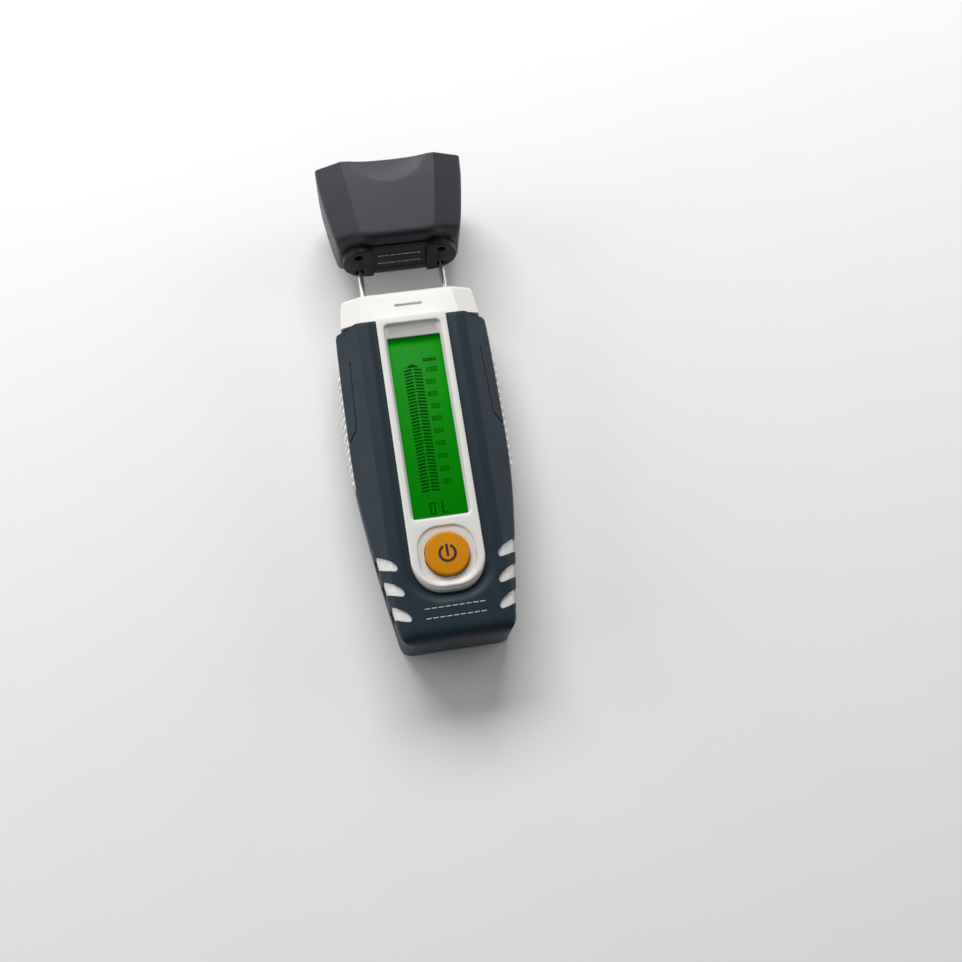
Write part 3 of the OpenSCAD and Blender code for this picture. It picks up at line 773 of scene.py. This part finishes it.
def buildStrip(s):                            # ribbed strip in its slot: base, ribs and a plain top stretch
    parts = []
    foot, long, low = strip["foot"], strip["long"], strip["low"]
    high = low + strip["high"]

    def faceX(y, z):
        lean = (case["halfWide"] - case["shoulderHalf"]) * (z - strip["leanFrom"]) / strip["leanHigh"]
        return min(case["halfWide"] - lean, halfAt(y) - 0.02)

    def stretch(name, ys, out, inner, trim):
        rings = []
        for y in ys:
            lowX, highX = faceX(y, low) + out, faceX(y, high) + out
            rings.append([(s * lowX, y, low + trim), (s * highX, y, high - trim),
                          (s * inner, y, high - trim), (s * inner, y, low + trim)])
        parts.append(soften(loft(name, rings), 0.15))
    stretch("stripBase", [foot + long * i / 40 for i in range(41)], strip["baseOut"], strip["inner"], 0)
    plain, inner = strip["plainLong"], strip["ribInner"]
    for i in range(int((long - plain) / strip["pitch"])):
        y = foot + strip["firstRib"] + strip["pitch"] * i
        rings = []
        for z, level in ((low + 0.1, low), (high - 0.1, high)):
            x = min(faceX(y, level), faceX(y + strip["ribLong"], level)) + strip["ribOut"]
            rings.append([(s * inner, y - 0.15, z), (s * x, y + 0.25, z),
                          (s * x, y + 1.45, z), (s * inner, y + 1.85, z)])
        parts.append(soften(loft("rib", rings), 0.14))
    ys = [foot + long - plain + 0.6 + strip["plainRun"] * i / 12 for i in range(13)]
    stretch("stripTop", ys, strip["topOut"], strip["topInner"], 0.1)
    name, node = ("stripRight", "side_strip_right") if s > 0 else ("stripLeft", "side_strip_left")
    return give(joinAll(name, parts), "meter", "white_rubber", materials["white"], node)


swooshPads = buildSwooshPads()
for side in (1, -1):
    buildStrip(side)
print("side strips and thumb pads ready")


def roundedBox(x0, x1, y0, y1, r, n=10):
    return roundCorners([(x1, y1), (x0, y1), (x0, y0), (x1, y0)], r, n)


def circleLine(cx, cy, r, n=40):
    turns = [2 * math.pi * i / n for i in range(n)]
    return [(cx + r * math.cos(a), cy + r * math.sin(a)) for a in turns]


def at(outline, z):
    return [(x, y, z) for x, y in outline]


def buildBezel():
    lo, hi = boxMm("power_button")
    by = (lo.y + hi.y) / 2
    z1, edge = bezel["high"], bezel["edge"]
    # plateau with the display recess and the button dish
    half, foot, end = bezel["recessHalf"], bezel["recessFoot"], bezel["recessTop"]
    recess = roundedBox(-half, half, foot, end, bezel["recessRound"], 10)
    d, deep = bezel["dishHalf"], bezel["dishDeep"]
    dish = roundedBox(-d, d, by - d, by + d, bezel["dishRound"], 18)
    face = plate("bezelFace", bezelOutline(), [recess, dish], 28.4, z1, edge, 5)
    # side wall that spreads towards the button end
    rings = []
    for k in range(13):
        turn = k / 12 * math.pi / 2
        drop = edge * 0.8 + (z1 - edge * 0.8 - 28.9) * (1 - math.cos(turn)) if k else edge * 0.7
        rings.append(at(bezelOutline(0.0 if k else -0.15, bezel["tail"] * math.sin(turn)), z1 - drop))
    skirt = loft("bezelSkirt", rings, capStart=False, capEnd=False)
    # sloping walls down to the window
    lensTop = boxMm("display_window")[1].z
    glassLow, glassHigh = boxMm("lcd_glass")
    w, y0, y1 = glassHigh.x - 1.0, glassLow.y + 1.0, glassHigh.y - 1.0
    levels = [(z1 - 0.55, half + 0.03, foot - 0.03, end + 0.03, 1.8),
              (z1 - 1.1, half - 0.05, foot + 0.05, end - 0.35, 1.7),
              (lensTop + 0.35, w + 0.12, y0 - 0.1, y1 + 0.6, 0.9),
              (lensTop + 0.03, w, y0, y1, 0.45), (lensTop - 0.6, w, y0, y1, 0.45)]
    rings = [at(roundedBox(-hw, hw, f, t, r, 10), z) for z, hw, f, t, r in levels]
    walls = loft("recessWalls", rings, capStart=False, capEnd=False)
    # dish around the button
    levels = [(z1 - 0.5, d + 0.02, 7.42), (z1 - 0.62, d - 0.15, 7.3), (z1 - deep + 0.02, d - 0.7, 7.0)]
    rings = [at(roundedBox(-h, h, by - h, by + h, r, 18), z) for z, h, r in levels]
    hole = (hi.x - lo.x) / 2 - 1 + 0.32
    rim = [(x, y) for x, y, z in rings[-1]]
    inner = []
    for x, y in rim:
        a = math.atan2(y - by, x)
        inner.append((hole * math.cos(a), by + hole * math.sin(a)))
    near = [(ix * 0.9 + x * 0.1, iy * 0.9 + y * 0.1) for (ix, iy), (x, y) in zip(inner, rim)]
    rings += [at(near, z1 - deep - 0.02), at(inner, z1 - deep - 0.12), at(inner, z1 - 3.6)]
    dishPiece = loft("buttonDish", rings, capStart=False, capEnd=False)
    whole = joinAll("bezel", [face, skirt, walls, dishPiece])
    give(whole, "meter", "white_shell", materials["white"], "front_shell")


buildBezel()
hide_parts("front_shell")
print("bezel ready")

# display

display = dict(
    inkColour=(0.0, 0.060, 0.0), inkThick=0.03, bars=38, barLeft=-5.1, barRight=1.2, barFoot=-8.6,
    barTop=37.2, barGap=0.32, barLean=0.42, barFill=0.55, tickEvery=4, tickHalf=0.22, tickHigh=0.6,
    numeralLeft=2.2, numeralFoot=-6.3, numeralStep=4.62, numeralPitch=1.2, numeralWide=0.9, numeralHigh=1.7,
    numeralStroke=0.26, dashes=5, dashPitch=0.95, dashLong=0.7, dashFoot=39.2, dashTop=40.5, signFoot=-16.6,
    signHigh=4.2)


def segmentDigit(ch, x, y, w, h, t, z):       # seven-segment digit drawn with thin bars
    table = {"0": "abcdef", "1": "bc", "2": "abged", "3": "abgcd", "4": "fgbc", "5": "afgcd", "6": "afgedc",
             "7": "abc", "8": "abcdefg", "9": "abcdfg", "L": "fed"}
    m = y + h / 2
    spots = {"a": (x, x + w, y + h - t, y + h), "g": (x, x + w, m - t / 2, m + t / 2),
             "d": (x, x + w, y, y + t), "f": (x, x + t, m, y + h), "b": (x + w - t, x + w, m, y + h),
             "e": (x, x + t, y, m), "c": (x + w - t, x + w, y, m)}
    return [brick("seg", *spots[s], z, z + display["inkThick"]) for s in table[ch]]


def buildDisplay():
    lo, hi = boxMm("lcd_glass")
    thick = display["inkThick"]
    z = hi.z - thick
    glass = brick("lcdGlass", lo.x, hi.x, lo.y, hi.y, lo.z, z)
    soften(glass, 0.08)
    panel = litDisplay(dict(base=(0.0, 0.012, 0.0), glow=(0.0, 0.26, 0.0), footGlow=0.62, topGlow=1.0))
    give(glass, "meter", "lcd_green", panel, "lcd_glass")
    left, right, foot, top = (display[key] for key in ("barLeft", "barRight", "barFoot", "barTop"))
    gap, lean, tick = display["barGap"], display["barLean"], display["tickHalf"]
    mid = (left + right) / 2
    step = (top - foot) / display["bars"]
    fill = step * display["barFill"]
    shapes = []
    for i in range(display["bars"]):          # two columns of slanted bars, with a tick at every fourth
        y = foot + step * i
        for a, b, ya, yb in ((left, mid - gap, y, y + lean), (mid + gap, right, y + lean, y)):
            shapes.append(prism("bar", [(a, ya), (b, yb), (b, yb + fill), (a, ya + fill)], z, z + thick))
        if i % display["tickEvery"] == display["tickEvery"] - 1:
            shapes.append(brick("tick", mid - tick, mid + tick, y, y + display["tickHigh"], z, z + thick))
    arrow = [(left + 0.8, top + 0.3), (right - 0.8, top + 0.3), (mid + 0.5, top + 1.5),
             (mid - 0.5, top + 1.5)]
    shapes.append(prism("arrow", arrow, z, z + thick))
    for i in range(10):                       # scale numerals, 100 at the foot
        y = display["numeralFoot"] + display["numeralStep"] * i
        for k, ch in enumerate(str(100 * (i + 1))):
            x = display["numeralLeft"] + display["numeralPitch"] * k
            shapes += segmentDigit(ch, x, y, display["numeralWide"], display["numeralHigh"],
                                   display["numeralStroke"], z)
    for k in range(display["dashes"]):        # small index dashes over the scale
        x = display["numeralLeft"] + display["dashPitch"] * k
        shapes.append(brick("dash", x, x + display["dashLong"], display["dashFoot"], display["dashTop"],
                            z, z + thick))
    for ch, x, wide, stroke in (("0", -3.2, 2.0, 0.5), ("L", 1.0, 1.9, 0.45)):
        shapes += segmentDigit(ch, x, display["signFoot"], wide, display["signHigh"], stroke, z)
    ink = joinAll("lcdMarks", shapes)
    mat, tree, shader = nodeTree("lcdInk")
    coords = tree.nodes.new("ShaderNodeTexCoord")
    tone = spread(tree, linkNoise(tree, coords, 500, 4), 0.3, 0.7, 0.6, 1.0)
    shader.inputs["Base Color"].default_value = (0.0, 0.004, 0.0, 1)
    shader.inputs["Specular IOR Level"].default_value = 0.04
    shader.inputs["Emission Color"].default_value = (*display["inkColour"], 1)
    tree.links.new(tone, shader.inputs["Emission Strength"])
    shader.inputs["Roughness"].default_value = 0.5
    give(ink, "meter", "lcd_green", mat)
    lo, hi = boxMm("display_window")
    window = brick("displayWindow", lo.x, hi.x, lo.y, hi.y, lo.z, hi.z)
    soften(window, 0.12)
    give(window, "meter", "window_plastic", clearWindow(), "display_window")


buildDisplay()
print("display ready")

# power button

button = dict(radius=7.45, crown=0.2, edge=0.65, ringOut=3.08, ringIn=2.2, gapHalf=1.35, barHalf=0.42,
              barFoot=-1.1, barTop=3.15)


def buildButton():
    lo, hi = boxMm("power_button")
    by = (lo.y + hi.y) / 2
    r, top, edge = button["radius"], hi.z - 0.05 - button["crown"], button["edge"]
    profile = [(0.001, lo.z), (2.2, lo.z), (2.2, 25.0), (r + 1, 25.0), (r + 1, 26.4), (r, 26.4)]
    turns = [math.pi / 2 * k / 8 for k in range(9)]
    profile += [(r - edge + edge * math.cos(a), top - edge + edge * math.sin(a)) for a in turns]
    crown = button["crown"] * 0.9
    for t in (0.1, 0.2, 0.35, 0.5, 0.7, 0.9):
        profile.append(((r - edge) * (1 - t), top + crown * math.sin(t * math.pi / 2)))
    profile.append((0.001, top + crown))
    body = lathe("powerButton", profile, (0, by, 0), steps=128)
    give(body, "button", "button_amber", materials["amber"], "power_button")
    z = top + crown
    start = math.asin(button["gapHalf"] / button["ringOut"])
    turns = [math.pi / 2 + start + (2 * math.pi - 2 * start) * k / 60 for k in range(61)]
    outer, inner = ([(rr * math.cos(a), by + rr * math.sin(a)) for a in turns]
                    for rr in (button["ringOut"], button["ringIn"]))
    ring = prism("iconRing", outer + inner[::-1], z - 0.16, z + 0.012)
    half = button["barHalf"]
    barLine = roundedBox(-half, half, by + button["barFoot"], by + button["barTop"], 0.16, 4)
    bar = prism("iconBar", barLine, z - 0.16, z + 0.014)
    give(joinAll("buttonIcon", [ring, bar]), "button", "icon_black", materials["ink"], "button_icon")


buildButton()
print("button ready")


def octagon(w, f, d, s, r, n=6):
    # eight-cornered slice in X-Z: half width, half flat, half depth, half side
    pts = [(f, d), (-f, d), (-w, s), (-w, -s), (-f, -d), (f, -d), (w, -s), (w, s)]
    return roundCorners(pts, r, n)


def densify(line, counts):                    # adds points on straight runs, as many for every slice
    out = []
    for i, p in enumerate(line):
        q = line[(i + 1) % len(line)]
        out.append(p)
        for k in range(1, counts.get(i, 1)):
            out.append((p[0] + (q[0] - p[0]) * k / counts[i], p[1] + (q[1] - p[1]) * k / counts[i]))
    return out


# sensor head and electrodes

head = dict(baseHalf=25.1, flatHalf=17.4, sideHalf=9.9, corner=1.7, slotWide=9.8, slotHigh=0.95, slotAt=61.6,
            pinRadius=1.05, shankRadius=1.5)


def buildHead():
    lo, hi = boxMm("sensor_head")
    zc = (lo.z + hi.z) / 2
    top = hi.y
    base = case["top"] + 0.02
    rings = []
    # height, how far the taper has got, how far the rounded top edge is drawn in
    levels = [(base, 0, 0), (top - 2.0, 0.72, 0), (top - 1.2, 0.80, 0.12), (top - 0.6, 0.86, 0.45),
              (top - 0.2, 0.90, 0.95), (top, 0.93, 1.6)]
    for y, t, pull in levels:
        w = head["baseHalf"] - 1.5 * t - pull
        f = head["flatHalf"] - 1.2 * t - pull * 0.4
        d = (hi.z - lo.z) / 2 - 0.05 - 1.3 * t - pull
        side = head["sideHalf"] - 1.6 * t - pull
        rings.append([(x, y, zc + z) for x, z in octagon(w, f, d, side, head["corner"], 7)])
    body = loft("sensorHead", rings, angle=60)
    slot = roundedBox(-head["slotWide"] / 2, head["slotWide"] / 2, head["slotAt"] - head["slotHigh"] / 2,
                      head["slotAt"] + head["slotHigh"] / 2, 0.35, 4)
    cut(body, [prism("slotCutter", slot, zc + 11.3, zc + 16)])
    shade(body, 50)
    soften(body, 0.12, 60)
    flatten(body)
    give(body, "meter", "white_shell", materials["white"], "sensor_head")
    lo, hi = boxMm("electrode_right")
    px, pz = (lo.x + hi.x) / 2, (lo.z + hi.z) / 2
    tip = hi.y
    r, shank = head["pinRadius"], head["shankRadius"]
    profile = [(0.001, lo.y), (shank, lo.y), (shank, top - 0.05), (r, top - 0.05), (r, tip - 3.1),
               (r * 0.94, tip - 2.7), (0.62, tip - 1.4), (0.25, tip - 0.3), (0.12, tip - 0.05), (0.001, tip)]
    for s, node in ((1, "electrode_right"), (-1, "electrode_left")):
        pin = lathe("pin", profile, (s * px, 0, pz), "Y", 48, 30)
        give(pin, "meter", "electrode_steel", materials["steel"], node)
    lo, hi = boxMm("electrode_collars")
    a, b = lo.y, hi.y
    profile = [(1.09, a), (2.5, a), (2.5, a + 0.7), (2.4, a + 0.82), (1.85, a + 0.9), (1.8, a + 1.0),
               (1.8, b - 0.25), (1.55, b), (1.09, b)]
    parts = [lathe("collar", profile, (s * px, 0, pz), "Y", 48, 30) for s in (1, -1)]
    give(joinAll("collars", parts), "meter", "electrode_steel", materials["steel"], "electrode_collars")


buildHead()
print("sensor head ready")

# test cap

cap = dict(
    long=34.2, wall=1.4, scoopHalf=15.0, scoopPast=5.4, scoopDeep=0.85, rimDip=0.6, dipHalf=17, fade=9,
    cornerBack=1.7, socket=1.5, shellSocket=2.3, bossIn=5.2, bossRound=3.0, rowUp=2.8, rowLeft=-8.0,
    rowRight=7.6, dashes=(1.3, 0.5, 0.8, 0.5), dashGap=0.42, dashHalf=0.22,
    # distance from the closed end, half width, half flat, half depth, half side, corner radius
    slices=[(2.0, 21.7, 12.4, 10.3, 7.0, 2.4), (2.5, 22.0, 12.7, 12.4, 8.6, 2.2),
            (3.0, 22.3, 12.9, 13.7, 9.8, 2.0), (3.8, 22.6, 13.1, 14.55, 10.7, 1.7),
            (4.8, 22.9, 13.3, 14.75, 11.0, 1.5), (13.0, 24.3, 14.4, 15.1, 11.3, 1.4),
            (20.0, 25.4, 15.4, 15.4, 11.5, 1.4), (27.0, 26.3, 16.3, 15.65, 11.6, 1.5),
            (34.2, 26.75, 17.0, 15.75, 11.6, 1.6)])


def capSlice(t, inset):                       # measures of one slice, between the two nearest rows
    rows = cap["slices"]
    for a, b in zip(rows, rows[1:]):
        if t <= b[0]:
            break
    u = clamp((t - a[0]) / (b[0] - a[0]))
    w, f, d, s, r = [a[k] + (b[k] - a[k]) * u for k in range(1, 6)]
    return [w - inset, f - inset * 0.2, d - inset, s - inset * 0.6, max(r - inset * 0.6, 0.7)]


def capRing(t, inset, origin):
    w, f, d, s, r = capSlice(t, inset)
    line = densify(octagon(w, f, d, s, r), {6: 40, 13: 6, 20: 8, 27: 6, 34: 20, 41: 6, 48: 8, 55: 6})
    fade = cap["fade"]
    past = (cap["long"] + cap["scoopPast"] - t) / cap["scoopHalf"]
    ring = []
    for x, z in line:
        dip = cap["rimDip"] * max(0, 1 - (x / cap["dipHalf"]) ** 2) * smooth((t - cap["long"] + fade) / fade)
        back = cap["cornerBack"] * smooth((abs(x) - 9) / 9) * (1 - smooth((t - 2) / fade))
        along = t - dip + (back if inset == 0 else 0)
        q = 1 - (x / cap["scoopHalf"]) ** 2 - past ** 2
        if q > 0 and z > d - 1.2:             # thumb scoop in the front edge
            z -= cap["scoopDeep"] * (1 - (1 - q) ** 2.4)
        ring.append((origin[0] + x, origin[1] + along, origin[2] + z))
    return ring


def capShellRings(origin):                    # outside from the closed end to the rim, then back inside
    long, wall = cap["long"], cap["wall"]
    ts = [2.0, 2.4, 2.8, 3.2, 3.9, 4.8, 5.6, 6.4, 7.2] + [8 + 0.8 * i for i in range(33)]
    stops = [(t, 0) for t in ts if t < long - 0.5]
    stops += [(long - 0.45, 0), (long - 0.15, 0.12), (long, 0.45)]
    stops += [(long, wall - 0.45), (long - 0.15, wall - 0.12), (long - 0.45, wall)]
    stops += [(t, wall) for t in reversed(ts) if 4.2 < t < long - 0.5]
    return [capRing(t, inset, origin) for t, inset in stops]


def buildCap():
    lo, hi = boxMm("cap_end_plate")
    ox, oy, oz = origin = ((lo.x + hi.x) / 2, lo.y, (lo.z + hi.z) / 2)
    shell = loft("capShell", capShellRings(origin), angle=34)
    contactLow, contactHigh = boxMm("cap_contacts")
    wide = cap["shellSocket"]
    px = (contactHigh.x - contactLow.x) / 2 - wide
    pz = (contactHigh.z - contactLow.z) / 2 - wide
    spots = [(sx * px, sz * pz) for sx in (1, -1) for sz in (1, -1)]
    profile = [(0.001, oy + 1), (wide, oy + 1), (wide, oy + 6), (0.001, oy + 6)]
    cut(shell, [lathe("socketCut", profile, (ox + x, 0, oz + z), "Y", 32) for x, z in spots])
    shade(shell, 34)
    give(shell, "cap", "cap_plastic", materials["cap"], "cap_shell")
    half, r = (hi.x - lo.x) / 2, (hi.z - lo.z) / 2
    stadium = roundCorners([(half, r), (-half, r), (-half, -r), (half, -r)], r - 0.01, 24)
    holes = [circleLine(x, z, cap["socket"]) for x, z in spots]
    parts = [plate("capPlate", stadium, holes, oy + 1.4, oy + 4.0, 0.35, 3, "XZ", oz)]
    inner = px - cap["bossIn"]
    for s in (1, -1):                         # raised bosses around each pair of sockets
        pts = [(x, z) for x, z in stadium if s * x >= inner + 0.01]
        pts.sort(key=lambda p: math.atan2(p[1], s * p[0] - (inner + 2)))
        edge = max(z for x, z in pts)
        pts = [(s * inner, -edge), *pts, (s * inner, edge)]
        pts = roundCorners(pts, [cap["bossRound"]] + [0] * (len(pts) - 2) + [cap["bossRound"]], 8)
        own = [circleLine(x, z, cap["socket"]) for x, z in spots if s * x > 0]
        parts.append(plate("boss", pts, own, oy, oy + 2.0, 0.4, 4, "XZ", oz))
    give(joinAll("capEndPlate", parts), "cap", "plate_black", materials["plate"], "cap_end_plate")
    marks = []
    for z in (oz + cap["rowUp"], oz - cap["rowUp"]):
        x, k = cap["rowLeft"], 0
        while x < cap["rowRight"]:
            w = cap["dashes"][k % len(cap["dashes"])]
            marks.append(brick("mark", x, x + w, oy + 1.33, oy + 1.42, z - cap["dashHalf"],
                               z + cap["dashHalf"]))
            x += w + cap["dashGap"]
            k += 1
    give(joinAll("capMarks", marks), "cap", "marks_grey", materials["marks"], "cap_marks")


buildCap()
print("cap ready")


rules = dict(dashes=9, pitch=2.3, long=1.75, half=0.15, foot=30.3)


def buildRules():                             # two rows of dashes at the foot of the front
    lo, hi = boxMm("rule_inlays")
    parts = []
    for y in (lo.y + 0.17, hi.y - 0.17):
        for i in range(rules["dashes"]):
            x = lo.x + 0.3 + i * rules["pitch"]
            parts.append(brick("rule", x, x + rules["long"], y - rules["half"], y + rules["half"],
                               rules["foot"], hi.z - 0.01))
    give(joinAll("rules", parts), "meter", "marks_grey", materials["marks"], "rule_inlays")


buildRules()

# inner pieces keep their shape and take materials

finishes = {
    "rear_shell": "white", "electrode_inserts": "brass", "electrode_leads": "brass",
    "lcd_backlight": "diffuser", "circuit_board": "board", "circuit_chips": "chip", "buzzer": "chip",
    "tact_switch": "chip", "switch_plunger": "plunger", "battery_cover": "cover", "battery_cells": "cell",
    "battery_springs": "nickel", "battery_plates": "nickel", "case_screws": "screw",
    "board_screws": "screw", "cap_contacts": "brass", "cap_test_board": "board", "cap_resistors": "resistor"}
edgeWidth = 0.18
for node, key in finishes.items():
    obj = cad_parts[node]
    obj.data.materials.clear()
    obj.data.materials.append(materials[key])
    if node in ("battery_cover", "case_screws"):
        mod = obj.modifiers.new("edge", "BEVEL")
        mod.width = edgeWidth * mm
        mod.segments = 2
        mod.limit_method = "ANGLE"
print("inner pieces ready")

# floor, light and camera

stage = dict(floor=(0.95, 0.95, 0.95), floorHalf=4, world=0.15)
softboxes = dict(                             # place, aim, size, power
    key=((-0.10, 0.85, 0.80), (0, 0.03, 0.02), (1.0, 0.5), 12.6),
    left=((-0.95, 0.25, 0.34), (0, 0.02, 0.02), (0.9, 0.55), 3.9),
    right=((0.95, 0.30, 0.36), (0, 0.02, 0.02), (0.9, 0.55), 2.7))


def softbox(name, place, aim, size, power):
    light = bpy.data.lights.new(name, "AREA")
    light.shape = "RECTANGLE"
    light.size, light.size_y = size
    light.energy = power
    obj = linkObject(name, light)
    obj.location = place
    obj.rotation_mode = "QUATERNION"
    obj.rotation_quaternion = (Vector(aim) - Vector(place)).to_track_quat("-Z", "Y")


def buildStage():
    mesh = bpy.data.meshes.new("floor")
    h = stage["floorHalf"]
    mesh.from_pydata([(-h, -h, 0), (h, -h, 0), (h, h, 0), (-h, h, 0)], [], [(0, 1, 2, 3)])
    floor = linkObject("floor", mesh)
    mat, tree, shader = nodeTree("floorPaper")
    coords = tree.nodes.new("ShaderNodeTexCoord")
    tone = spread(tree, linkNoise(tree, coords, 30, 4), 0.3, 0.7, 0, 1)
    paper = blendColour(tree, tone, stage["floor"], tuple(c * 0.99 for c in stage["floor"]))
    tree.links.new(paper, shader.inputs["Base Color"])
    shader.inputs["Roughness"].default_value = 0.9
    mesh.materials.append(mat)
    world = bpy.data.worlds.new("studio")
    scene.world = world
    world.use_nodes = True
    sky = world.node_tree.nodes["Background"]
    sky.inputs["Color"].default_value = (1.0, 1.0, 1.0, 1)
    sky.inputs["Strength"].default_value = stage["world"]
    for name, spec in softboxes.items():
        softbox(name, *spec)


view = dict(place=(-24.94, -113.55, 402.78), aim=(16.37, -5.04, 20.0), roll=-9.44, lens=42.61622, sensor=36)


def buildCamera():
    data = bpy.data.cameras.new("camera")
    data.sensor_width = view["sensor"]
    data.lens = view["lens"]
    data.clip_start, data.clip_end = 0.01, 20
    cam = linkObject("camera", data)
    scene.camera = cam
    place, aim = Vector(view["place"]) * mm, Vector(view["aim"]) * mm
    back = (place - aim).normalized()
    right = Vector((0, 1, 0)).cross(back).normalized()
    up = back.cross(right)
    a = math.radians(view["roll"])
    r = right * math.cos(a) + up * math.sin(a)
    u = up * math.cos(a) - right * math.sin(a)
    cam.matrix_world = Matrix.Translation(place) @ Matrix((r, u, back)).transposed().to_4x4()


buildStage()
buildCamera()
scene.view_settings.view_transform = "Standard"
scene.view_settings.look = "None"

print("scene ready")
